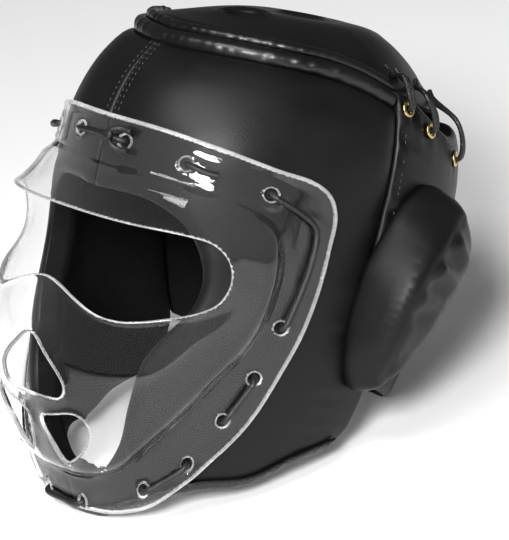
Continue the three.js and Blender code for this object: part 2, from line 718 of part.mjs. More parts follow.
function hemSection([turn, rise]) {
  const sink = (above) => roll(above, Math.min(edgeRoll, padThickness / 3));
  return [
    headPoint(turn, rise + hemStart, gap - sink(hemStart)), headPoint(turn, rise + hemHeight / 2, gap - sink(hemHeight / 2)),
    headPoint(turn, rise + hemHeight, gap - sink(hemHeight)),
    headPoint(turn, rise + hemHeight, gap + hemThickness - sink(hemHeight)),
    headPoint(turn, rise + hemHeight / 2, gap + hemThickness - sink(hemHeight / 2)),
    headPoint(turn, rise + hemStart, gap + hemThickness - sink(hemStart)),
  ];
}
addPair("jaw_hem", ringStrip(hemRows, hemSection), leather);

// The guard stands on the chin and the nape, pitched back, with the leather pressed flat where it rests.
const chinFoot = headPoint(0, high(-0.602), -padThickness / 2);
const napeFoot = headPoint(160, high(-0.235), -rearThickness / 2);
const restPitch = Math.atan2(napeFoot.z - chinFoot.z, napeFoot.y - chinFoot.y);
guard.rotation.x = -restPitch;
guard.updateMatrixWorld(true);
const bounds = new THREE.Box3().setFromObject(guard, true);
guard.position.y = -(bounds.min.y + bounds.max.y) / 2;
guard.position.z = -bounds.min.z - restFlat;
rest.updateMatrixWorld(true);
const resting = /side_panel|rear_panel|jaw_hem/;
for (const mesh of guard.children.filter((child) => resting.test(child.name))) {
  const position = mesh.geometry.attributes.position;
  const vertex = new THREE.Vector3();
  for (let i = 0; i < position.count; i += 1) {
    vertex.fromBufferAttribute(position, i).applyMatrix4(mesh.matrixWorld);
    if (vertex.z < 0) {
      vertex.z = 0;
      guard.worldToLocal(vertex);
      position.setXYZ(i, vertex.x, vertex.y, vertex.z);
    }
  }
  mesh.geometry.computeVertexNormals();
}

export default rest;
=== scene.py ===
import math

import bmesh
import bpy
import mathutils.geometry
import numpy as np
from mathutils import Matrix, Vector


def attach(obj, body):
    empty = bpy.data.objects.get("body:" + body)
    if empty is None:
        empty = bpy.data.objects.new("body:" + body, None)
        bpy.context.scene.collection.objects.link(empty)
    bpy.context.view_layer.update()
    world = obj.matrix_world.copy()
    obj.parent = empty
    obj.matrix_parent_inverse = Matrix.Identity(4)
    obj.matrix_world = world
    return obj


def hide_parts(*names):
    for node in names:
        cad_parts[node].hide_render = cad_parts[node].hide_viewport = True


# Head guard with a clear face shield, standing on its chin and nape. Lengths are millimetres until the rest pose.
# A place on it is a turn (degrees from the front centre, wearer's left positive) and a rise above the ear line.
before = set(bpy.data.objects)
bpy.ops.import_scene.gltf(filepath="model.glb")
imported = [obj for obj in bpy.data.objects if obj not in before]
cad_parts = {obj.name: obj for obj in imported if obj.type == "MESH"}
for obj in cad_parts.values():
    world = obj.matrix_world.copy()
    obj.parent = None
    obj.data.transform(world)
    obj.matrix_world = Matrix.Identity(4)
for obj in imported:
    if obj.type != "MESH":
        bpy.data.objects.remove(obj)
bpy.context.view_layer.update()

guard = {
    "width": 200.0, "depth": 235.0, "height": 260.0, "gap": 0.35,
    "pitch": 0.530233, "shift": (0, 14.404, 91.165),  # how it leans back, and where that puts it
}
gap = guard["gap"]
mmPerDegree = guard["width"] / 114

# Outer surface of the padding: shares of the guard's width, depth and height
sections = {
    "rise": (-0.635, -0.5, -0.346, -0.154, 0.038, 0.23, 0.3, 0.365, 0.43, 0.5),
    "half": (0.27, 0.365, 0.44, 0.485, 0.5, 0.5, 0.495, 0.48, 0.452, 0.415),
    "front": (0.235, 0.345, 0.426, 0.477, 0.502, 0.506, 0.494, 0.466, 0.417, 0.366),
    "back": (0.17, 0.29, 0.4, 0.45, 0.477, 0.49, 0.485, 0.468, 0.434, 0.383),
    "centre": (-0.085, -0.068, -0.051, -0.034, -0.034, -0.034, -0.034, -0.034, -0.034, -0.034),
    "square": (2.2, 2.2, 2.2, 2.2, 2.2, 2.15, 2.08, 2.02, 1.96, 1.92),
}


def smoothColumn(xs, ys, at):
    x, y = np.array(xs, float), np.array(ys, float)
    before = np.maximum(np.arange(len(x)) - 1, 0)
    after = np.minimum(np.arange(len(x)) + 1, len(x) - 1)
    slope = (y[after] - y[before]) / (x[after] - x[before])
    at = np.clip(np.asarray(at, float), x[0], x[-1])
    i = np.clip(np.searchsorted(x, at, side="left") - 1, 0, len(x) - 2)
    span = x[i + 1] - x[i]
    t = (at - x[i]) / span
    start = (2 * t**3 - 3 * t**2 + 1) * y[i] + (t**3 - 2 * t**2 + t) * span * slope[i]
    return start + (3 * t**2 - 2 * t**3) * y[i + 1] + (t**3 - t**2) * span * slope[i + 1]


def smoothStep(t):
    x = np.clip(t, 0, 1)
    return x * x * (3 - 2 * x)


def crest(t):  # 1 on the line, fading to 0 about two widths away
    return np.exp(-t * t)


def unit(v):
    return v / np.maximum(np.linalg.norm(v, axis=-1, keepdims=True), 1e-9)


def high(share):
    return np.asarray(share, float) * guard["height"]


def skinPoint(turn, rise):
    turn, rise = np.broadcast_arrays(np.asarray(turn, float), np.asarray(rise, float))
    half, front, back, centre, square = (
        smoothColumn(sections["rise"], sections[key], rise / guard["height"])
        for key in ("half", "front", "back", "centre", "square")
    )
    angle = np.radians(turn)
    side = np.sign(np.sin(angle)) * np.abs(np.sin(angle)) ** (2 / square)
    ahead = np.sign(np.cos(angle)) * np.abs(np.cos(angle)) ** (2 / square)
    reach = np.where(ahead > 0, front, back)
    return np.stack([half * guard["width"] * side, (centre - reach * ahead) * guard["depth"], rise], -1)


def headPoint(turn, rise, out):
    turn, rise = np.asarray(turn, float), np.asarray(rise, float)
    across = skinPoint(turn + 1, rise) - skinPoint(turn - 1, rise)
    upward = skinPoint(turn, rise + 1) - skinPoint(turn, rise - 1)
    return skinPoint(turn, rise) + unit(np.cross(across, upward)) * np.asarray(out, float)[..., None]


def toRest(points):  # from the head's own frame to the pose the guard stands in
    c, s = math.cos(guard["pitch"]), math.sin(guard["pitch"])
    return points @ np.array([[1, 0, 0], [0, c, -s], [0, s, c]]) + np.array(guard["shift"])


def waves(along, seed, shortest, longest, count=5):  # uneven folds, about -1 to 1, the same on each run
    rng = np.random.default_rng(seed)
    lengths, phases = rng.uniform(shortest, longest, count), rng.uniform(0, 2 * math.pi, count)
    folds = sum(np.sin(2 * math.pi * along / length + phase) for length, phase in zip(lengths, phases))
    return folds / count**0.5


# Lines and distances in the flat patterns


def pattern(points):
    return np.array([[turn * mmPerDegree, float(high(share))] for turn, share in points])


def evenly(line, spacing):
    run = np.concatenate([[0], np.cumsum(np.linalg.norm(np.diff(line, axis=0), axis=1))])
    at = np.linspace(0, run[-1], max(int(round(run[-1] / spacing)), 1) + 1)
    return np.stack([np.interp(at, run, line[:, k]) for k in range(line.shape[1])], -1)


def curveThrough(points, closed, spacing):
    p = np.asarray(points, float)
    knots = np.vstack([p[-1], p, p[:2]]) if closed else np.vstack([2 * p[0] - p[1], p, 2 * p[-1] - p[-2]])
    fine = []
    for a, b, c, d in zip(knots, knots[1:], knots[2:], knots[3:]):
        t1 = np.linalg.norm(b - a) ** 0.5 + 1e-6
        t2 = t1 + np.linalg.norm(c - b) ** 0.5 + 1e-6
        t3 = t2 + np.linalg.norm(d - c) ** 0.5 + 1e-6
        t = np.linspace(t1, t2, 24, endpoint=False)[:, None]
        a1, a2, a3 = a + (b - a) * t / t1, b + (c - b) * (t - t1) / (t2 - t1), c + (d - c) * (t - t2) / (t3 - t2)
        b1, b2 = a1 + (a2 - a1) * t / t2, a2 + (a3 - a2) * (t - t1) / (t3 - t1)
        fine.append(b1 + (b2 - b1) * (t - t1) / (t2 - t1))
    line = np.vstack([*fine, p[:1] if closed else p[-1:]])
    return evenly(line, spacing)[:-1] if closed else evenly(line, spacing)


def parted(points):
    return np.array_split(points, max(len(points) // 3000, 1))


def lineDistance(points, line, closed=False):
    ends = np.vstack([line, line[:1]]) if closed else np.asarray(line, float)
    a, along = ends[:-1], np.diff(ends, axis=0)
    best = []
    for part in parted(points):
        p = part[:, None]
        t = np.clip(((p - a) * along).sum(-1) / np.maximum((along**2).sum(-1), 1e-12), 0, 1)
        best.append(np.linalg.norm(p - (a + along * t[..., None]), axis=-1).min(1))
    return np.concatenate(best)


def lineRun(points, line):  # how far along a finely spaced line the nearest spot lies
    steps = np.concatenate([[0], np.cumsum(np.linalg.norm(np.diff(line, axis=0), axis=1))])
    return steps[np.concatenate([np.linalg.norm(p[:, None] - line, axis=-1).argmin(1) for p in parted(points)])]


def insideLoop(points, loop):
    inside = np.zeros(len(points), bool)
    for (ax, ay), (bx, by) in zip(loop, np.roll(loop, 1, axis=0)):
        if ay != by:
            crosses = (ay > points[:, 1]) != (by > points[:, 1])
            inside ^= crosses & (points[:, 0] < (bx - ax) * (points[:, 1] - ay) / (by - ay) + ax)
    return inside


def circle(centre, radius, count):
    angle = np.linspace(0, 2 * math.pi, count, endpoint=False)
    return np.asarray(centre) + radius * np.stack([np.cos(angle), np.sin(angle)], -1)


def onPad(flat, out):
    return headPoint(flat[:, 0] / mmPerDegree, flat[:, 1], out)


# Building helpers: a flat sheet cut from its pattern and bent, and a grid wrapped into a strip or tube


def inwardRing(loop, width, hole):
    ahead = unit(np.roll(loop, -1, axis=0) - np.roll(loop, 1, axis=0))
    area = np.cross(np.roll(loop, 1, axis=0), loop).sum()
    turned = np.stack([-ahead[:, 1], ahead[:, 0]], -1) * (1 if (area > 0) != hole else -1)
    return loop + turned * width


def flatSheet(loops, cell, rings):
    # Filled by a constrained triangulation: rows of points that follow each edge, and an even grid inside them.
    def edgeDistance(points):
        return np.min([lineDistance(points, loop, True) for loop in loops], axis=0)

    def within(points):
        return insideLoop(points, loops[0]) & ~np.any([insideLoop(points, loop) for loop in loops[1:]], axis=0)

    rows = []
    for width in np.cumsum(rings):
        for i, loop in enumerate(loops):
            row = inwardRing(loop, width, i > 0)
            rows.append(row[within(row) & (edgeDistance(row) > width * 0.96)])
    low, top = loops[0].min(0), loops[0].max(0)
    x, y = np.meshgrid(np.arange(low[0], top[0], cell), np.arange(low[1], top[1], cell * 0.87))
    x[1::2] += cell / 2
    grid = np.stack([x.ravel(), y.ravel()], -1)
    rows.append(grid[within(grid) & (edgeDistance(grid) > sum(rings) + cell * 0.45)])
    starts = np.cumsum([0] + [len(loop) for loop in loops])
    sides = [(a + i, a + (i + 1) % (b - a)) for a, b in zip(starts, starts[1:]) for i in range(b - a)]
    points = [Vector(p) for p in np.vstack([*loops, *rows])]
    places, _, faces, _, _, _ = mathutils.geometry.delaunay_2d_cdt(points, sides, [], 0, 1e-4)
    middles = np.mean([[places[k] for k in face] for face in faces], axis=1)
    bm = bmesh.new()
    verts = [bm.verts.new((*place, 0)) for place in places]
    for face, kept in zip(faces, within(middles)):
        if kept:
            bm.faces.new([verts[k] for k in face])
    bmesh.ops.delete(bm, geom=[v for v in verts if not v.link_faces], context="VERTS")
    bm.normal_update()
    bmesh.ops.reverse_faces(bm, faces=[f for f in bm.faces if f.normal.z < 0])
    return bm


def moveTo(verts, points):
    placed = toRest(points)
    placed[:, 2] = np.maximum(placed[:, 2], 0)  # pressed flat where it rests
    for vert, point in zip(verts, placed * 0.001):
        vert.co = point


def flatPlaces(verts):
    return np.array([v.co[:2] for v in verts])


def thicken(bm, outer, inner, lined=True):
    # The sheet's copy becomes the outer face, the sheet itself the inner one, with a wall between them.
    base = bm.verts[:]
    made = bmesh.ops.extrude_face_region(bm, geom=bm.faces[:], use_keep_orig=True)["geom"]
    raised = [g for g in made if isinstance(g, bmesh.types.BMVert)]
    outside = [g for g in made if isinstance(g, bmesh.types.BMFace)]
    flatBase, flatRaised = flatPlaces(base), flatPlaces(raised)
    moveTo(base, inner(flatBase))
    moveTo(raised, outer(flatRaised))
    if lined:
        for face in bm.faces:
            face.material_index = 1
        for face in outside:
            face.material_index = 0


def finishPiece(name, bm, materials, replaces):
    bmesh.ops.recalc_face_normals(bm, faces=bm.faces[:])
    mesh = bpy.data.meshes.new(name)
    bm.to_mesh(mesh)
    bm.free()
    mesh.polygons.foreach_set("use_smooth", [True] * len(mesh.polygons))
    for material in materials:
        mesh.materials.append(material)
    return rideOn(bpy.data.objects.new(name, mesh), replaces)


def rideOn(piece, replaces):
    bpy.context.scene.collection.objects.link(piece)
    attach(piece, "root")
    if replaces:
        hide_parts(*replaces)
    return piece


def makePair(name, build, materials):
    pieces = []
    for side, sign in (("left", 1), ("right", -1)):
        bm = build()
        bmesh.ops.scale(bm, vec=(sign, 1, 1), verts=bm.verts[:])
        pieces.append(finishPiece(f"{name}_{side}_cover", bm, materials, [f"{name}_{side}"]))
    return pieces


def wrapGrid(place, along, around):
    # A grid bent by place(u, v), where v runs once round the section; its ends are closed.
    bm = bmesh.new()
    bmesh.ops.create_grid(bm, x_segments=along, y_segments=around, size=0.5)
    flat = flatPlaces(bm.verts) + 0.5
    moveTo(bm.verts, place(flat[:, 0], flat[:, 1]))
    bmesh.ops.remove_doubles(bm, verts=bm.verts[:], dist=1e-6)
    bmesh.ops.holes_fill(bm, edges=[e for e in bm.edges if e.is_boundary])
    return bm


def roundSection(corners, v):  # a closed section smoothed through its corners, read at shares of its length
    loop = curveThrough(corners, True, 0.15)
    loop = np.vstack([loop, loop[:1]])
    run = np.concatenate([[0], np.cumsum(np.linalg.norm(np.diff(loop, axis=0), axis=1))])
    return np.interp(v * run[-1], run, loop[:, 0]), np.interp(v * run[-1], run, loop[:, 1])


print("helpers ready")

# Materials


def newMaterial(name, settings):
    material = bpy.data.materials.new(name)
    material.use_nodes = True
    shader = material.node_tree.nodes["Principled BSDF"]
    for socket, value in settings.items():
        shader.inputs[socket].default_value = value
    return material, material.node_tree, shader


def rampInto(tree, source, target, low, top, start=0.3, end=0.7):
    ramp = tree.nodes.new("ShaderNodeValToRGB")
    ramp.color_ramp.elements[0].position, ramp.color_ramp.elements[1].position = start, end
    ramp.color_ramp.elements[0].color, ramp.color_ramp.elements[1].color = (*low, 1), (*top, 1)
    tree.links.new(source, ramp.inputs["Fac"])
    tree.links.new(ramp.outputs["Color"], target)


def bumpInto(tree, source, shader, strength, distance):
    lift = tree.nodes.new("ShaderNodeBump")
    lift.inputs["Strength"].default_value = strength
    lift.inputs["Distance"].default_value = distance
    tree.links.new(source, lift.inputs["Height"])
    tree.links.new(lift.outputs["Normal"], shader.inputs["Normal"])


def makeGrain():  # fine cells with softer creases between them, and a slow change of tone
    group = bpy.data.node_groups.new("leatherGrain", "ShaderNodeTree")
    group.interface.new_socket("Cells", in_out="INPUT", socket_type="NodeSocketFloat").default_value = 900
    group.interface.new_socket("Height", in_out="OUTPUT", socket_type="NodeSocketFloat")
    group.interface.new_socket("Tone", in_out="OUTPUT", socket_type="NodeSocketFloat")
    nodes, links = group.nodes, group.links
    entry, leave = nodes.new("NodeGroupInput"), nodes.new("NodeGroupOutput")
    place, cells = nodes.new("ShaderNodeTexCoord"), nodes.new("ShaderNodeTexVoronoi")
    cells.feature = "SMOOTH_F1"
    slow, fine = nodes.new("ShaderNodeTexNoise"), nodes.new("ShaderNodeTexNoise")
    slow.inputs["Scale"].default_value, slow.inputs["Detail"].default_value = 28, 4
    fine.inputs["Scale"].default_value, fine.inputs["Detail"].default_value = 420, 3
    both = nodes.new("ShaderNodeMath")
    both.operation = "MULTIPLY_ADD"
    both.inputs[1].default_value = 0.6
    for node in (cells, slow, fine):
        links.new(place.outputs["Object"], node.inputs["Vector"])
    links.new(entry.outputs["Cells"], cells.inputs["Scale"])
    links.new(fine.outputs["Fac"], both.inputs[0])
    links.new(cells.outputs["Distance"], both.inputs[2])
    links.new(both.outputs[0], leave.inputs["Height"])
    links.new(slow.outputs["Fac"], leave.inputs["Tone"])
    return group


grain = makeGrain()


def leatherMaterial(name, look):
    material, tree, shader = newMaterial(name, {"Specular IOR Level": look["shine"]})
    node = tree.nodes.new("ShaderNodeGroup")
    node.node_tree = grain
    node.inputs["Cells"].default_value = look["cells"]
    bumpInto(tree, node.outputs["Height"], shader, look["depth"], 0.0003)
    rampInto(tree, node.outputs["Tone"], shader.inputs["Base Color"], look["dark"], look["light"])
    rampInto(tree, node.outputs["Tone"], shader.inputs["Roughness"], (look["smooth"],) * 3, (look["rough"],) * 3)
    return material


leather = leatherMaterial("blackLeather", {
    "dark": (0.0035, 0.0035, 0.0038), "light": (0.006, 0.006, 0.0065), "smooth": 0.38, "rough": 0.48, "shine": 0.2,
    "cells": 1100, "depth": 0.12,
})
glossyLeather = leatherMaterial("glossyLeather", {
    "dark": (0.003, 0.003, 0.0033), "light": (0.006, 0.006, 0.0065), "smooth": 0.3, "rough": 0.4, "shine": 0.4,
    "cells": 900, "depth": 0.12,
})
liningLeather = leatherMaterial("liningLeather", {
    "dark": (0.002, 0.002, 0.002), "light": (0.004, 0.004, 0.004), "smooth": 0.75, "rough": 0.9, "shine": 0.1,
    "cells": 1500, "depth": 0.4,
})


def cordMaterial():
    material, tree, shader = newMaterial("blackCord", {"Roughness": 0.45})
    place, weave = tree.nodes.new("ShaderNodeTexCoord"), tree.nodes.new("ShaderNodeTexVoronoi")
    weave.inputs["Scale"].default_value = 1300
    tree.links.new(place.outputs["Object"], weave.inputs["Vector"])
    bumpInto(tree, weave.outputs["Distance"], shader, 0.6, 0.0004)
    rampInto(tree, weave.outputs["Distance"], shader.inputs["Base Color"], (0.012,) * 3, (0.003,) * 3, 0.1, 0.6)
    return material


def brassMaterial():
    material, tree, shader = newMaterial("brassEyelet", {"Metallic": 1.0})
    place, wear = tree.nodes.new("ShaderNodeTexCoord"), tree.nodes.new("ShaderNodeTexNoise")
    wear.inputs["Scale"].default_value = 500
    tree.links.new(place.outputs["Object"], wear.inputs["Vector"])
    rampInto(tree, wear.outputs["Fac"], shader.inputs["Base Color"], (0.42, 0.30, 0.12), (0.72, 0.55, 0.27))
    rampInto(tree, wear.outputs["Fac"], shader.inputs["Roughness"], (0.22,) * 3, (0.4,) * 3)
    return material


def shieldMaterial():
    material, tree, shader = newMaterial("clearShield", {
        "Base Color": (1, 1, 1, 1), "Transmission Weight": 1.0, "IOR": 1.34,
    })
    place, smear = tree.nodes.new("ShaderNodeTexCoord"), tree.nodes.new("ShaderNodeTexNoise")
    smear.inputs["Scale"].default_value, smear.inputs["Detail"].default_value = 35, 5
    tree.links.new(place.outputs["Object"], smear.inputs["Vector"])
    rampInto(tree, smear.outputs["Fac"], shader.inputs["Roughness"], (0.0,) * 3, (0.03,) * 3, 0.4, 0.8)
    return material


def milkyGlowEdgeMaterial():  # the shield's rounded edge, milky where it was cut and polished, with a faint painted glow (emission) that stands in for the bright highlight along its rim
    material, tree, shader = newMaterial("shieldEdgeMilkyGlow", {
        "Transmission Weight": 0.8, "IOR": 1.45, "Emission Strength": 0.1,
    })
    place, hazeAndGlow = tree.nodes.new("ShaderNodeTexCoord"), tree.nodes.new("ShaderNodeTexNoise")
    hazeAndGlow.inputs["Scale"].default_value, hazeAndGlow.inputs["Detail"].default_value = 90, 3
    tree.links.new(place.outputs["Object"], hazeAndGlow.inputs["Vector"])
    rampInto(tree, hazeAndGlow.outputs["Fac"], shader.inputs["Base Color"], (0.75,) * 3, (0.95,) * 3)
    # painted highlight: the same noise sets the emission colour, a glow that stands in for the edge's bright rim
    # highlight
    rampInto(tree, hazeAndGlow.outputs["Fac"], shader.inputs["Emission Color"], (0.7,) * 3, (1,) * 3)
    rampInto(tree, hazeAndGlow.outputs["Fac"], shader.inputs["Roughness"], (0.12,) * 3, (0.3,) * 3)
    return material


cordBlack, brass, clear, clearEdgeGlow = cordMaterial(), brassMaterial(), shieldMaterial(), milkyGlowEdgeMaterial()
thread = leatherMaterial("waxedThread", {
    "dark": (0.014, 0.014, 0.0145), "light": (0.024, 0.024, 0.025), "smooth": 0.35, "rough": 0.5, "shine": 0.5,
    "cells": 3000, "depth": 0.2,
})
print("materials ready")

# Camera: the photograph's view of the guard, and the studio

view = {
    "turn": 50.0, "up": 17.0, "pitch": 18.5, "distance": 1900.0,
    "pixelsPerMm": 1.75, "middle": (250.0, 260.0),
}
imageSize = (509, 540)


def makeCamera():
    turn, up, pitch = (math.radians(view[key]) for key in ("turn", "up", "pitch"))
    tip = np.array([[1, 0, 0], [0, math.cos(pitch), -math.sin(pitch)], [0, math.sin(pitch), math.cos(pitch)]])
    back = tip @ np.array([math.sin(turn) * math.cos(up), -math.cos(turn) * math.cos(up), math.sin(up)])
    above = tip @ np.array([0, 0, 1.0])
    above = unit(above - above.dot(back) * back)
    turned = [toRest(axis) - toRest(np.zeros(3)) for axis in (np.cross(above, back), above, back)]
    place = toRest(back * view["distance"]) * 0.001
    camera = bpy.data.cameras.new("camera")
    camera.sensor_width = 36
    camera.lens = view["pixelsPerMm"] * view["distance"] / max(imageSize) * camera.sensor_width
    camera.shift_x = (imageSize[0] / 2 - view["middle"][0]) / max(imageSize)
    camera.shift_y = (view["middle"][1] - imageSize[1] / 2) / max(imageSize)
    camera.clip_end = 50
    holder = bpy.data.objects.new("camera", camera)
    rows = [[turned[k][row] for k in range(3)] + [place[row]] for row in range(3)]
    holder.matrix_world = Matrix(rows + [[0, 0, 0, 1]])
    bpy.context.scene.collection.objects.link(holder)
    bpy.context.scene.camera = holder


def makeFloor():
    bm = bmesh.new()
    bmesh.ops.create_grid(bm, x_segments=1, y_segments=1, size=6)
    mesh = bpy.data.meshes.new("floor")
    bm.to_mesh(mesh)
    bm.free()
    mesh.materials.append(newMaterial("paleFloor", {
        "Base Color": (0.87, 0.87, 0.87, 1), "Roughness": 0.9,
        "Emission Color": (1, 1, 1, 1), "Emission Strength": 0.07,
    })[0])
    floor = bpy.data.objects.new("floor", mesh)
    floor.location.z = -0.0003
    bpy.context.scene.collection.objects.link(floor)


def makeLight(name, place, size, power, aim=(0, 0, 0.12)):
    lamp = bpy.data.lights.new(name, "AREA")
    lamp.shape, lamp.size, lamp.size_y, lamp.energy = "RECTANGLE", size[0], size[1], power
    holder = bpy.data.objects.new(name, lamp)
    holder.location = place
    holder.rotation_euler = (Vector(aim) - Vector(place)).to_track_quat("-Z", "Y").to_euler()
    bpy.context.scene.collection.objects.link(holder)


def makeWorld():  # a white surround that lights the guard more softly than it looks
    world = bpy.data.worlds.new("studio")
    world.use_nodes = True
    nodes, links = world.node_tree.nodes, world.node_tree.links
    seen, lighting = nodes["Background"], nodes.new("ShaderNodeBackground")
    seen.inputs["Color"].default_value = lighting.inputs["Color"].default_value = (1, 1, 1, 1)
    seen.inputs["Strength"].default_value, lighting.inputs["Strength"].default_value = 1.0, 0.1
    path, either = nodes.new("ShaderNodeLightPath"), nodes.new("ShaderNodeMath")
    mix = nodes.new("ShaderNodeMixShader")
    either.operation = "MAXIMUM"
    links.new(path.outputs["Is Camera Ray"], either.inputs[0])
    links.new(path.outputs["Is Transmission Ray"], either.inputs[1])
    links.new(either.outputs[0], mix.inputs["Fac"])
    links.new(lighting.outputs[0], mix.inputs[1])
    links.new(seen.outputs[0], mix.inputs[2])
    links.new(mix.outputs[0], nodes["World Output"].inputs["Surface"])
    bpy.context.scene.world = world


makeCamera()
makeFloor()
makeWorld()
makeLight("keyPanel", (1.32, -1.5, 1.42), (0.62, 0.55), 84)
makeLight("topPanel", (0.35, -1.0, 2.0), (1.2, 0.6), 30)
bpy.context.scene.view_settings.view_transform = "Standard"
print("camera and studio ready")

# Stitches and cords

stitch = {"length": 2.3, "spacing": 3.6, "thread": 0.75, "lift": 0.25}


def addStitches(name, lines):
    # lines: flat lines on the padding, each with how far out it lies
    bm = bmesh.new()
    for line, out in lines:
        spots = onPad(line, out + stitch["lift"])
        outward = unit(onPad(line, out + 1) - onPad(line, out))
        run = np.concatenate([[0], np.cumsum(np.linalg.norm(np.diff(spots, axis=0), axis=1))])
        for at in np.arange(stitch["spacing"] / 2, run[-1] - 1, stitch["spacing"]):
            spot, nextSpot, up = (
                np.array([np.interp(where, run, table[:, k]) for k in range(3)])
                for where, table in ((at, spots), (at + 0.5, spots), (at, outward))
            )
            ahead, up = unit(nextSpot - spot), unit(up)
            sideways = np.cross(up, ahead)
            made = bmesh.ops.create_uvsphere(bm, u_segments=6, v_segments=4, radius=1)["verts"]
            local = np.array([v.co[:] for v in made])
            scaled = local * [stitch["thread"] / 2, stitch["thread"] / 2, stitch["length"] / 2]
            moveTo(made, spot + scaled @ np.array([sideways, up, ahead]))
    twin = bmesh.ops.duplicate(bm, geom=bm.verts[:] + bm.edges[:] + bm.faces[:])["geom"]
    bmesh.ops.scale(bm, vec=(-1, 1, 1), verts=[g for g in twin if isinstance(g, bmesh.types.BMVert)])
    return finishPiece(name, bm, [thread], ())


def layCord(name, routes, radius, replaces, sign=1):
    # Each route is a row of points in the head's frame; the cord is a round curve through them.
    curve = bpy.data.curves.new(name, "CURVE")
    curve.dimensions = "3D"
    curve.bevel_depth = radius * 0.001
    curve.bevel_resolution = 3
    curve.use_fill_caps = True
    for route in routes:
        line = toRest(curveThrough(route, False, 1.2) * [sign, 1, 1]) * 0.001
        spline = curve.splines.new("POLY")
        spline.points.add(len(line) - 1)
        for point, place in zip(spline.points, line):
            point.co = (*place, 1)
    curve.materials.append(cordBlack)
    return rideOn(bpy.data.objects.new(name, curve), replaces)


# Key lines

bandEdge = {"turn": (0, 58, 75, 92), "rise": (0.427, 0.443, 0.434, 0.41)}
seamTurn, jawTurn, backTurn = 92.0, 106.0, 172.0
seam = gap / mmPerDegree


def bandLow(turn):
    return high(smoothColumn(bandEdge["turn"], bandEdge["rise"], np.abs(turn)))


def pillow(distance, depth, run):  # how far a padded face sinks near its edge
    share = 1 - np.clip(distance / run, 0, 1)
    return depth * (1 - np.sqrt(np.maximum(1 - share**2, 0)))


# Side panels: forehead, temple, cheek and jaw in one piece on each side of the centre seam

sidePanel = {
    "thickness": 17.0, "edgeDepth": 4.5, "edgeRun": 9.0, "seamDepth": 1.6, "seamRun": 2.6, "outlineStep": 3.0,
    "cell": 3.2, "rings": (0.6, 0.9, 1.4, 2.2), "stitchOffset": 4.2, "puckers": 0.35,
}
faceOpening = [
    (0, 0.1), (22, 0.1), (36, 0.06), (43, -0.02), (42, -0.09), (35, -0.16), (29, -0.23), (27, -0.33), (25.5, -0.42),
    (18, -0.49), (8, -0.515), (0, -0.52),
]
jawRows = {"turn": (0, 20, 40, 60, 79, 92, 104), "rise": (-0.602, -0.588, -0.535, -0.48, -0.445, -0.375, -0.33)}
sideBack = [(jawTurn - 2, -0.33), (jawTurn + 1, -0.28), (jawTurn, -0.2), (seamTurn + 6, -0.05), (seamTurn, 0.1)]


def offCentre(points):
    return pattern([(max(turn, seam), share) for turn, share in points])


def sideOutline(step):
    top = [(turn, float(bandLow(turn)) / guard["height"]) for turn in (seamTurn, 82, 70, 56, 42, 28, 14, 0)]
    brow = curveThrough(offCentre(top), False, step)
    face = curveThrough(offCentre(faceOpening), False, step)
    jaw = curveThrough(offCentre(zip(jawRows["turn"], jawRows["rise"])), False, step)
    back = evenly(np.vstack([pattern(sideBack), brow[:1]]), step)[1:-1]
    centreTop = evenly(np.array([brow[-1], face[0]]), step)[1:-1]
    centreLow = evenly(np.array([face[-1], jaw[0]]), step)[1:-1]
    return np.vstack([brow, centreTop, face, centreLow, jaw, back])


sideLoop = sideOutline(sidePanel["outlineStep"])


def sideHeights(flat):
    turn, rise = flat[:, 0] / mmPerDegree, flat[:, 1]
    away = lineDistance(flat, sideLoop, True)
    near = np.minimum(smoothStep((np.abs(turn) - 2) / 5), smoothStep((seamTurn + 14 - turn) / 4))
    depth = sidePanel["seamDepth"] + (sidePanel["edgeDepth"] - sidePanel["seamDepth"]) * near
    run = sidePanel["seamRun"] + (sidePanel["edgeRun"] - sidePanel["seamRun"]) * near
    sink = pillow(away, depth, run)
    groove = 0.4 * crest((flat[:, 0] - sidePanel["stitchOffset"]) / 0.9) * (rise > high(0.1))
    puckers = sidePanel["puckers"] * waves(rise, 11, 9, 26) * crest((seamTurn * mmPerDegree - flat[:, 0]) / 10)
    return -sink - groove + puckers * smoothStep(away / 4), sink


def buildSide():
    bm = flatSheet([sideLoop], sidePanel["cell"], sidePanel["rings"])
    thicken(bm, lambda flat: onPad(flat, sideHeights(flat)[0]),
            lambda flat: onPad(flat, sideHeights(flat)[1] - sidePanel["thickness"]))
    return bm


for piece in makePair("side_panel", buildSide, [leather, liningLeather]):
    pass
print("side panels ready")

# Rear panels: from the side seam to the centre-back opening, with a laced top edge

rearPanel = {
    "thickness": 9.0, "edgeDepth": 2.8, "edgeRun": 6.0, "cell": 3.2, "rings": (0.6, 0.9, 1.4),
    "eyeletRadius": 4.0, "puckers": 0.8,
}
eyelets = [(95.8, 0.412), (107, 0.378), (126, 0.328)]
lacedEdge = [
    (seamTurn + 2 * seam, 0.448), (100, 0.436), (108, 0.41), (116, 0.386), (124, 0.374), (136, 0.382), (150, 0.395),
    (backTurn, 0.395),
]
rearLow = [
    (backTurn, 0.395), (backTurn, 0), (backTurn, -0.225), (156, -0.235), (140, -0.225), (122, -0.205),
    (jawTurn + 4, -0.19), (jawTurn + 2 * seam, -0.17), (seamTurn + 6 + 2 * seam, -0.05), (seamTurn + 2 * seam, 0.1),
    (seamTurn + 2 * seam, 0.448),
]
lacedLine = curveThrough(pattern(lacedEdge), False, 2.8)
rearLoop = np.vstack([lacedLine, evenly(pattern(rearLow), 2.8)[1:-1]])[::-1]
eyeletSpots = pattern(eyelets)


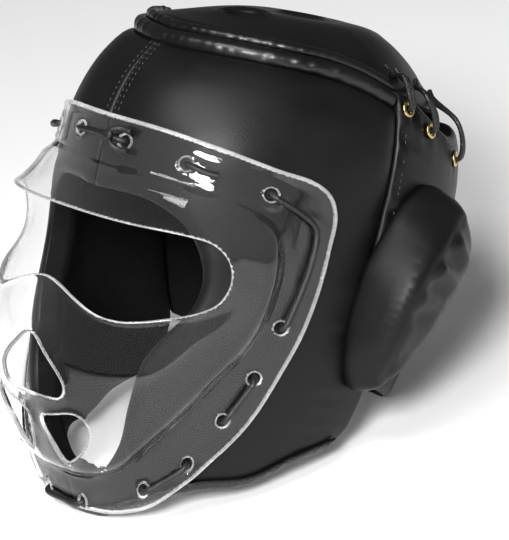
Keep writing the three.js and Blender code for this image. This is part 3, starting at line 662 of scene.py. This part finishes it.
def rearHeights(flat):
    away = lineDistance(flat, rearLoop, True)
    sink = pillow(away, rearPanel["edgeDepth"], rearPanel["edgeRun"])
    fromSeam = flat[:, 0] - seamTurn * mmPerDegree
    above = high(0.06) < flat[:, 1]
    folds = rearPanel["puckers"] * waves(flat[:, 1] + 0.5 * fromSeam, 5, 10, 24) * crest((fromSeam - 7) / 9) * above
    fromLace = lineDistance(flat, lacedLine)
    folds -= 0.5 * crest((fromLace - 5.5) / 1.0)
    pulls = sum(crest(np.linalg.norm(flat - spot, axis=1) / 9) for spot in eyeletSpots)
    folds += 0.7 * waves(flat[:, 0], 21, 7, 14) * pulls * smoothStep((fromLace - 3) / 6)
    return -sink + folds * smoothStep(away / 4), sink


def buildRear():
    holes = [circle(spot, rearPanel["eyeletRadius"], 16) for spot in eyeletSpots]
    bm = flatSheet([rearLoop, *holes], rearPanel["cell"], rearPanel["rings"])
    thicken(bm, lambda flat: onPad(flat, rearHeights(flat)[0]),
            lambda flat: onPad(flat, rearHeights(flat)[1] - rearPanel["thickness"]))
    return bm


for piece in makePair("rear_panel", buildRear, [leather, liningLeather]):
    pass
print("rear panels ready")

# Collar band with gathers, and the round piping above it

band = {"height": 8.5, "depth": 5.0, "gathers": 0.28, "end": seamTurn - 1}
piping = {"radius": 2.6, "inset": 4.1, "wrinkle": 0.12}


def bandTop(turn):
    return bandLow(turn) + band["height"] + gap


def bandFace(turn, t):
    along = turn * mmPerDegree
    face = -4.4 + 3.3 * np.sin(np.pi * np.clip(t, 0.001, 0.999)) ** 0.6 + 1.6 * t
    face += band["gathers"] * waves(along, 3, 6, 17) * smoothStep(4 * t) * (1 - t) ** 0.7
    return face + 0.3 * waves(along, 8, 9, 22) * smoothStep(4 * t) * (1 - t)


def placeBand(u, v):  # up its face, down its back and forward under it
    turn = (2 * u - 1) * band["end"]
    low, top = bandLow(turn) + gap, bandTop(turn)
    t, s, w = (np.clip((v - begin) / length, 0, 1) for begin, length in ((0, 0.64), (0.68, 0.24), (0.92, 0.08)))
    back = (-6.3 - 3.2 * s) * (1 - w) + bandFace(turn, 0 * t) * w
    out = np.where(v < 0.66, bandFace(turn, t), back)
    rise = np.where(v < 0.66, low + t * (top - low), top + s * (low - top))
    return headPoint(turn, rise, out)


def placePiping(u, v):
    turn = (2 * u - 1) * band["end"]
    radius = piping["radius"] * (1 + piping["wrinkle"] * waves(turn * mmPerDegree, 14, 4, 12) * 0.5)
    angle = 2 * math.pi * v
    middle = bandTop(turn) + piping["radius"] + gap
    return headPoint(turn, middle + radius * np.sin(angle), -piping["inset"] + radius * np.cos(angle))


finishPiece("crown_band_cover", wrapGrid(placeBand, 420, 22), [glossyLeather], ["crown_band"])
finishPiece("crown_welt_cover", wrapGrid(placePiping, 360, 16), [glossyLeather], ["crown_welt"])
print("band and piping ready")

# Crown: a dome inside the piping, with two vents and a tail that slopes down behind

crown = {
    "thickness": 6.0, "shoulder": 55.0, "ventRadius": 11.0, "vents": (-0.213, -0.034), "edgeDepth": 2.0,
    "edgeRun": 5.0, "cell": 3.4, "rings": (0.6, 0.9, 1.4, 2.0), "ventLip": 0.9, "folds": 0.7,
}
crownCrest = {
    "y": (-0.42, -0.255, 0, 0.14, 0.22, 0.29, 0.34, 0.4),
    "top": (0.488, 0.525, 0.55, 0.556, 0.545, 0.515, 0.475, 0.41),
    "rim": (0.482, 0.48, 0.452, 0.43, 0.425, 0.422, 0.4, 0.375),
}
tailSide = [(0, 0.362), (0.12, 0.356), (0.205, 0.32), (0.28, 0.24), (0.345, 0.15), (0.385, 0.06)]


def crownOutline():
    inward = -piping["inset"] - piping["radius"] - 2 * gap
    turns = np.array([88, 76, 64, 52, 40, 28, 14], float)
    side = headPoint(turns, bandTop(turns) + piping["radius"] + gap, inward)[:, :2]
    front = headPoint(0.0, float(high(0.476)), inward)[:2] * [0, 1]
    tail = np.array(tailSide) * [guard["width"], guard["depth"]]
    left = np.vstack([tail[1:], side])
    return curveThrough(np.vstack([tail[:1], left, [front], left[::-1] * [-1, 1]]), True, 3.0)


crownLoop = crownOutline()
ventSpots = [np.array([0, share * guard["depth"]]) for share in crown["vents"]]


def crownHeight(flat):
    share = flat[:, 1] / guard["depth"]
    rim, top = (high(smoothColumn(crownCrest["y"], crownCrest[key], share)) for key in ("rim", "top"))
    inside = np.clip(lineDistance(flat, crownLoop, True) / crown["shoulder"], 0, 1)
    return rim + (top - rim) * (1 - (1 - inside) ** 2)


def placeCrown(flat, outside):
    rings = [circle(spot, crown["ventRadius"], 28) for spot in ventSpots]
    fromVent = np.min([lineDistance(flat, ring, True) for ring in rings], axis=0)
    fromRim = lineDistance(flat, crownLoop, True)
    sink = pillow(np.minimum(fromVent, fromRim), crown["edgeDepth"], crown["edgeRun"])
    height = crownHeight(flat)
    if not outside:
        return np.column_stack([flat, height - crown["thickness"] + sink])
    tail = smoothStep((flat[:, 1] - 20) / 60)
    folds = crown["folds"] * waves(flat[:, 0] + 0.4 * flat[:, 1], 31, 12, 34) * tail * smoothStep(fromRim / 8)
    height += folds + crown["ventLip"] * crest((fromVent - 2.6) / 1.6) - 0.5 * crest((fromRim - 6.5) / 1.0)
    return np.column_stack([flat, height - sink])


def buildCrown():
    rings = [circle(spot, crown["ventRadius"], 28) for spot in ventSpots]
    bm = flatSheet([crownLoop, *rings], crown["cell"], crown["rings"])
    thicken(bm, lambda flat: placeCrown(flat, True), lambda flat: placeCrown(flat, False))
    return bm


crownSkin = [leather, liningLeather]
finishPiece("crown_panel_cover", buildCrown(), crownSkin, ["crown_panel"])
print("crown ready")

# Ear pads: rolled up from the front seam to a crease, and gathered behind it

earPad = {
    "lift": 1.05, "edge": 3.0, "height": 30.0, "cell": 2.6, "rings": (0.6, 0.9, 1.3, 1.8),
    "crease": 1.8, "creaseWidth": 1.7, "gathers": 1.5, "gatherReach": 15.0, "seamGroove": 0.6,
}
earOutline = [
    (104.7, 0.264), (99.7, 0.243), (95, 0.2), (92.5, 0.155), (90, 0.09), (89.2, 0), (89.6, -0.085), (91.8, -0.15),
    (96, -0.19), (103, -0.184), (111, -0.14), (119.5, -0.07), (126.5, 0.03), (129.5, 0.11), (127.5, 0.185),
    (120, 0.235), (112, 0.258),
]
earCrease = {
    "rise": (-0.15, -0.125, -0.077, -0.016, 0.047, 0.117, 0.17, 0.209),
    "turn": (98, 97, 95, 94, 94.5, 98.5, 103.5, 109),
    "height": (0.5, 0.62, 0.8, 0.94, 1, 0.97, 0.87, 0.72),
}
earLoop = curveThrough(pattern(earOutline), True, 2.4)
earLine = curveThrough(pattern(zip(earCrease["turn"], earCrease["rise"])), False, 0.8)


def earHeights(flat):
    away, fromCrease = lineDistance(flat, earLoop, True), lineDistance(flat, earLine)
    across = away / (away + fromCrease + 1e-6)
    height = earPad["height"] * smoothColumn(earCrease["rise"], earCrease["height"], flat[:, 1] / guard["height"])
    out = earPad["lift"] + earPad["edge"] + height * np.sin(across * np.pi / 2) ** 0.8
    creaseX = smoothColumn(high(earCrease["rise"]), earCrease["turn"], flat[:, 1]) * mmPerDegree
    behind = smoothStep((flat[:, 0] - creaseX - 1) / 3)
    folds = waves(lineRun(flat, earLine), 42, 13, 22, 3) * smoothStep(fromCrease / 4)
    fade = crest(np.maximum(fromCrease - 8, 0) / earPad["gatherReach"])
    out += earPad["gathers"] * folds * behind * fade * smoothStep(away / 8)
    out -= earPad["crease"] * crest(fromCrease / earPad["creaseWidth"])
    out -= earPad["seamGroove"] * crest((away - 3.2) / 0.9) * (1 - behind)
    return out


def buildEar():
    bm = flatSheet([earLoop], earPad["cell"], earPad["rings"])
    thicken(bm, lambda flat: onPad(flat, earHeights(flat)),
            lambda flat: onPad(flat, np.full(len(flat), earPad["lift"])))
    return bm


for piece in makePair("ear_pad", buildEar, [leather, leather]):
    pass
print("ear pads ready")

# Closure strap across the back, and the binding along the jaw

strap = {"width": 62.0, "thickness": 3.0, "end": 134.0, "lift": 0.7, "middle": 0.092}
hem = {"height": 8.0, "thickness": 1.6, "start": 0.4}


def placeStrap(u, v):
    half, thick = strap["width"] / 2, strap["thickness"]
    rise, out = roundSection([(-half + 1, 0), (-half, thick / 2), (-half + 1, thick), (half - 1, thick),
                              (half, thick / 2), (half - 1, 0)], v)
    turn = strap["end"] + (360 - 2 * strap["end"]) * u
    return headPoint(turn, high(strap["middle"]) + rise, strap["lift"] + np.clip(out, 0, thick))


jawLine = curveThrough(offCentre(zip(jawRows["turn"], jawRows["rise"])), False, 0.6)


def placeHem(u, v):
    at = u * (len(jawLine) - 8)
    turn = np.interp(at, np.arange(len(jawLine)), jawLine[:, 0]) / mmPerDegree
    low = np.interp(at, np.arange(len(jawLine)), jawLine[:, 1])
    tall, thick = hem["height"], hem["thickness"]
    above, out = roundSection([(hem["start"], 0), (tall, 0), (tall, thick), (tall * 0.75, thick * 1.1),
                               (tall * 0.4, thick * 1.15), (hem["start"], thick * 0.9)], v)
    above = np.clip(above, hem["start"], tall)
    sink = pillow(above, sidePanel["edgeDepth"], sidePanel["edgeRun"])
    return headPoint(turn, low + above, gap - sink + np.clip(out, 0, None) + 0.15 * waves(at * 0.6, 17, 6, 15))


finishPiece("back_strap_cover", wrapGrid(placeStrap, 90, 60), [leather], ["back_strap"])
makePair("jaw_hem", lambda: wrapGrid(placeHem, 260, 24), [glossyLeather])
print("strap and binding ready")

# Face shield: a flange that follows the padding and a bowl that stands out from it

shield = {
    "thickness": 2.4, "clearance": 0.8, "bowlStep": 9.0, "bowlRun": 9.0, "bowlReach": 27.0, "bowlEase": 30.0,
    "rimHeight": 0.9, "rimInset": 2.2, "rimWidth": 1.7, "lipFlare": 1.4, "slotHeight": 0.8, "cell": 2.2,
    "holeRadius": 3.6, "rings": (0.45, 0.6, 0.7, 0.7), "rimEdge": 2.1, "lipEdge": 0.8,
}
shieldRim = [
    (0, 0.256), (20, 0.256), (40, 0.247), (58, 0.232), (68, 0.225), (74, 0.205), (77.3, 0.165), (78, 0.09),
    (78, 0), (76.5, -0.09), (74, -0.17), (70, -0.29), (66, -0.352), (61, -0.405), (54, -0.465), (45, -0.52),
    (30, -0.556), (14, -0.569), (0, -0.572),
]
bowlEdge = [
    (0, 0.165), (30, 0.165), (52, 0.15), (62, 0.12), (66, 0.05), (66, -0.05), (62, -0.15), (56.5, -0.22),
    (51, -0.29), (43, -0.375), (30, -0.47), (14, -0.51), (0, -0.515),
]
eyeHole = [
    (0, 0.055), (21, 0.055), (38, 0.06), (44.5, 0.055), (49, 0.03), (50.8, -0.01), (49, -0.055), (45, -0.08),
    (38, -0.104), (25, -0.136), (18, -0.136), (11, -0.118), (5, -0.1), (0, -0.092),
]
noseHole = [(0, -0.215), (5, -0.245), (12, -0.3), (11, -0.322), (5, -0.33), (0, -0.331)]
mouthHole = [
    (3, -0.38), (9, -0.362), (16.5, -0.35), (20.5, -0.37), (18, -0.415), (13, -0.45), (8.6, -0.463), (5, -0.43),
]
bowl = {
    "rise": (-0.585, -0.47, -0.345, -0.23, -0.14, -0.04, 0.05, 0.1, 0.19, 0.256),
    "centre": (0.02, 0.25, 0.66, 0.85, 0.76, 0.5, 0.74, 0.5, 0.22, 0),
    "side": (0.2, 0.9, 1, 1, 1, 1, 1, 0.7, 0.25, 0),
}
laceHoles = [
    (9.5, 0.208), (31, 0.197), (57, 0.178), (69, -0.088), (65.6, -0.204), (60.5, -0.305), (53.5, -0.412),
    (40, -0.488), (11, -0.555),
]
slots = [
    {"ends": [(31, 0.197), (57, 0.178)], "radius": 6.5},
    {"ends": [(70.5, 0.13), (72.6, 0.01)], "radius": 5.5},
    {"ends": [(61.5, -0.315), (53.5, -0.412)], "radius": 5.5},
]


def bothSides(points):
    left = pattern(points)
    return np.vstack([left, left[1:-1][::-1] * [-1, 1]])


bowlLoop = curveThrough(bothSides(bowlEdge), True, 6.0)


def shieldLift(turn, rise):
    flat = np.stack([turn * mmPerDegree, rise], -1)
    inside = np.where(insideLoop(flat, bowlLoop), lineDistance(flat, bowlLoop, True), 0)
    centre = smoothColumn(bowl["rise"], bowl["centre"], rise / guard["height"]) * shield["bowlReach"]
    side = smoothColumn(bowl["rise"], bowl["side"], rise / guard["height"]) * shield["bowlStep"]
    across = np.cos(np.radians(np.minimum(np.abs(turn) * 1.3, 90))) ** 1.2
    step = np.minimum(side, centre) + np.maximum(side - centre, 0) * (1 - across)
    lift = step * smoothStep(inside / shield["bowlRun"])
    lift += np.maximum(centre - side, 0) * across * smoothStep(inside / shield["bowlEase"])
    hemTop = high(smoothColumn(jawRows["turn"], jawRows["rise"], np.abs(turn))) + hem["height"]
    over = (hem["thickness"] + gap) * smoothStep((hemTop + 2 * hem["height"] - rise) / (1.5 * hem["height"]))
    return shield["clearance"] + over + lift


def makeShield():
    rim = curveThrough(bothSides(shieldRim), True, 2.8)
    lips = [curveThrough(bothSides(eyeHole), True, 2.4), curveThrough(bothSides(noseHole), True, 2.0)]
    lips += [curveThrough(pattern(mouthHole) * [side, 1], True, 2.0) for side in (1, -1)]
    spots = [pattern([hole])[0] * [side, 1] for hole in laceHoles for side in (1, -1)]
    holes = [circle(spot, shield["holeRadius"], 18) for spot in spots]
    bm = flatSheet([rim, *lips, *holes], shield["cell"], shield["rings"])
    middles = np.array([face.calc_center_median()[:2] for face in bm.faces])
    atRim = lineDistance(middles, rim, True) < shield["rimEdge"]
    atLip = np.min([lineDistance(middles, loop, True) for loop in lips + holes], axis=0) < shield["lipEdge"]
    # Rim and hole edges get the milky edge material, which also carries the painted glow that stands in for the
    # rim's bright highlight
    for face, milkyAndGlowing in zip(bm.faces, atRim | atLip):
        face.material_index = int(milkyAndGlowing)

    def place(flat, outside):
        fromRim = lineDistance(flat, rim, True)
        fromLip = np.min([lineDistance(flat, loop, True) for loop in lips], axis=0)
        fromHole = np.min([lineDistance(flat, loop, True) for loop in holes], axis=0)
        lift = shieldLift(flat[:, 0] / mmPerDegree, flat[:, 1])
        lift += shield["rimHeight"] * crest((fromRim - shield["rimInset"]) / shield["rimWidth"])
        lift += shield["lipFlare"] * crest(fromLip / 2.4) + 0.5 * crest((fromHole - 0.8) / 0.9)
        for slot in slots:
            for side in (1, -1):
                middle = lineDistance(flat, pattern(slot["ends"]) * [side, 1])
                lift += shield["slotHeight"] * crest((middle - slot["radius"]) / 1.0)
        away = np.minimum(np.minimum(fromRim, fromLip), fromHole)
        sink = pillow(away, shield["thickness"] * 0.42, 1.1)
        return onPad(flat, lift + shield["thickness"] - sink if outside else lift + sink)

    thicken(bm, lambda flat: place(flat, True), lambda flat: place(flat, False), lined=False)
    return finishPiece("face_shield_clear", bm, [clear, clearEdgeGlow], ["face_shield"])


makeShield()
print("shield ready")

# Shield lacing: runs over the shield between its holes. Lift is in cord radii above the shield.

lace = {"radius": 1.7, "rearRadius": 1.4, "dive": -2.4}
laceRuns = {
    "brow": [(-9.5, 0.208, 0), (-7.5, 0.208, 1.2), (0, 0.211, 1.1), (7.5, 0.208, 1.2), (9.5, 0.208, 0)],
    "chin": [(-11, -0.555, 0), (-9, -0.556, 1.2), (0, -0.558, 1), (9, -0.556, 1.2), (11, -0.555, 0)],
    "knot": [(31, 0.197, 0), (33, 0.196, 1.4), (37, 0.19, 1.8), (41, 0.19, 1)],
    "temple": [(57, 0.178, 0), (58.5, 0.174, 1.1), (68, 0.148, 1), (71.5, 0.128, 1), (72.6, 0.06, 1),
               (71.2, -0.03, 1), (69.6, -0.08, 1.2), (69, -0.088, 0)],
    "cheek": [(65.6, -0.204, 0), (65.3, -0.212, 1.2), (63.2, -0.256, 1), (60.9, -0.297, 1.2), (60.5, -0.305, 0)],
    "jaw": [(53.5, -0.412, 0), (52.7, -0.418, 1.2), (47.5, -0.452, 1), (41, -0.484, 1.2), (40, -0.488, 0)],
}
browKnot = [
    [(3.5, 0.214, 1.2), (5, 0.205, 2.6), (6.5, 0.213, 3.2), (5.2, 0.221, 2.4), (3.8, 0.212, 1.6)],
    [(4.5, 0.212, 2.4), (6.5, 0.226, 2.8), (9, 0.232, 1.6), (12, 0.229, 1.2)],
    [(5, 0.21, 2.4), (7, 0.196, 2.8), (9.5, 0.189, 1.6), (12.5, 0.191, 1.2)],
]


def overShield(route):
    turn, share, lift = np.array(route, float).T
    base = shieldLift(turn, high(share)) + shield["thickness"] + gap
    return headPoint(turn, high(share), base + lift * lace["radius"])


def withDives(route):  # its ends go down into their holes
    down = [[(turn, share, lace["dive"])] if lift == 0 else [] for turn, share, lift in (route[0], route[-1])]
    return down[0] + route + down[1]


for name in ("brow", "chin"):
    extra = [overShield(loop) for loop in browKnot] if name == "brow" else []
    run = overShield(withDives(laceRuns[name]))
    layCord(f"lace_{name}", [run, *extra], lace["radius"], [f"shield_lace_{name}"])
for name in ("knot", "temple", "cheek", "jaw"):
    for side, sign in (("left", 1), ("right", -1)):
        layCord(f"lace_{name}_{side}", [overShield(withDives(laceRuns[name]))], lace["radius"],
                [f"shield_lace_{name}_{side}"], sign)

# Rear lacing and its brass eyelets

strands = [
    {"crown": [(0.35, 0.03), (0.37, 0.04)], "over": [(93.2, 0.464, 5), (95, 0.438, 5)]},
    {"crown": [(0.315, 0.13), (0.335, 0.125)], "over": [(104, 0.44, 4.5), (106.5, 0.403, 5.5)]},
    {"crown": [(0.24, 0.25), (0.265, 0.245)], "over": [(125, 0.397, 4.5), (126.2, 0.354, 5.5)]},
]
eyeletShape = [(2.2, -1.2), (3.3, -1.2), (3.3, 0.35), (4.5, 0.3), (4.75, 0.7), (4.4, 1.3), (3.7, 1.6), (2.9, 1.4),
               (2.4, 0.8), (2.2, 0)]


def overCrown(points):
    flat = np.array(points) * [guard["width"], guard["depth"]]
    return np.column_stack([flat, crownHeight(flat) + lace["radius"] + 3 * gap])


def overPad(points):
    turn, share, out = np.array(points, float).T
    return headPoint(turn, high(share), out)


def buildEyelet(turn, share):
    bm = bmesh.new()
    verts = [bm.verts.new((radius, 0, height)) for radius, height in eyeletShape]
    edges = [bm.edges.new(pair) for pair in zip(verts, verts[1:] + verts[:1])]
    bmesh.ops.spin(
        bm, geom=verts + edges, cent=(0, 0, 0), axis=(0, 0, 1), angle=2 * math.pi, steps=28, use_merge=True
    )
    bmesh.ops.remove_doubles(bm, verts=bm.verts[:], dist=1e-4)
    seat = headPoint(turn, high(share), 0)
    out = headPoint(turn, high(share), 1) - seat
    side = unit(np.cross([0, 0, 1], out))
    local = np.array([v.co[:] for v in bm.verts])
    moveTo(bm.verts, seat + local @ np.array([side, np.cross(out, side), out]))
    return bm


for i, strand in enumerate(strands):
    turn, share = eyelets[i]
    down = strand["over"] + [(turn, share, 3.4), (turn, share, -2)]
    twin = [(t - 2.2, s + 0.004, out + 0.6) for t, s, out in strand["over"]]
    twin += [(turn - 0.6, share, 3.2), (turn, share, -2)]
    starts = overCrown(strand["crown"])
    routes = [np.vstack([starts, overPad(down)]), np.vstack([starts + [-3, -6, 0.5], overPad(twin)])]
    for side, sign in (("left", 1), ("right", -1)):
        layCord(f"rear_lace_{i + 1}_{side}_cord", routes, lace["rearRadius"], [f"rear_lace_{i + 1}_{side}"], sign)
    makePair(f"eyelet_{i + 1}", lambda: buildEyelet(turn, share), [brass])
print("laces and eyelets ready")

# Seams' stitches

centreLine = pattern([(0, 0.262), (0, 0.424)])
earFront = earLoop[(earLoop[:, 0] < 97 * mmPerDegree)]
earFront = earFront[np.argsort(-earFront[:, 1])]
addStitches("forehead_stitches", [
    (evenly(centreLine + [sidePanel["stitchOffset"], 0], 1), -0.4),
    (evenly(centreLine + [sidePanel["stitchOffset"] * 0.1 + 0.6, 0], 1), -0.9),
])
addStitches("ear_pad_stitches", [(evenly(earFront + [3.2, 0], 1), earPad["lift"] + 5.2)])
addStitches("rear_seam_stitches", [
    (evenly(pattern([(seamTurn + 3, 0.43), (seamTurn + 3, 0.16)]), 1), -0.6),
    (evenly(lacedLine[3:] - [0, 5.5], 1), -0.7),
])
addStitches("jaw_stitches", [(jawLine[8:-12] + [0, hem["height"] - 1.4], hem["thickness"] + gap)])
print("stitches ready")
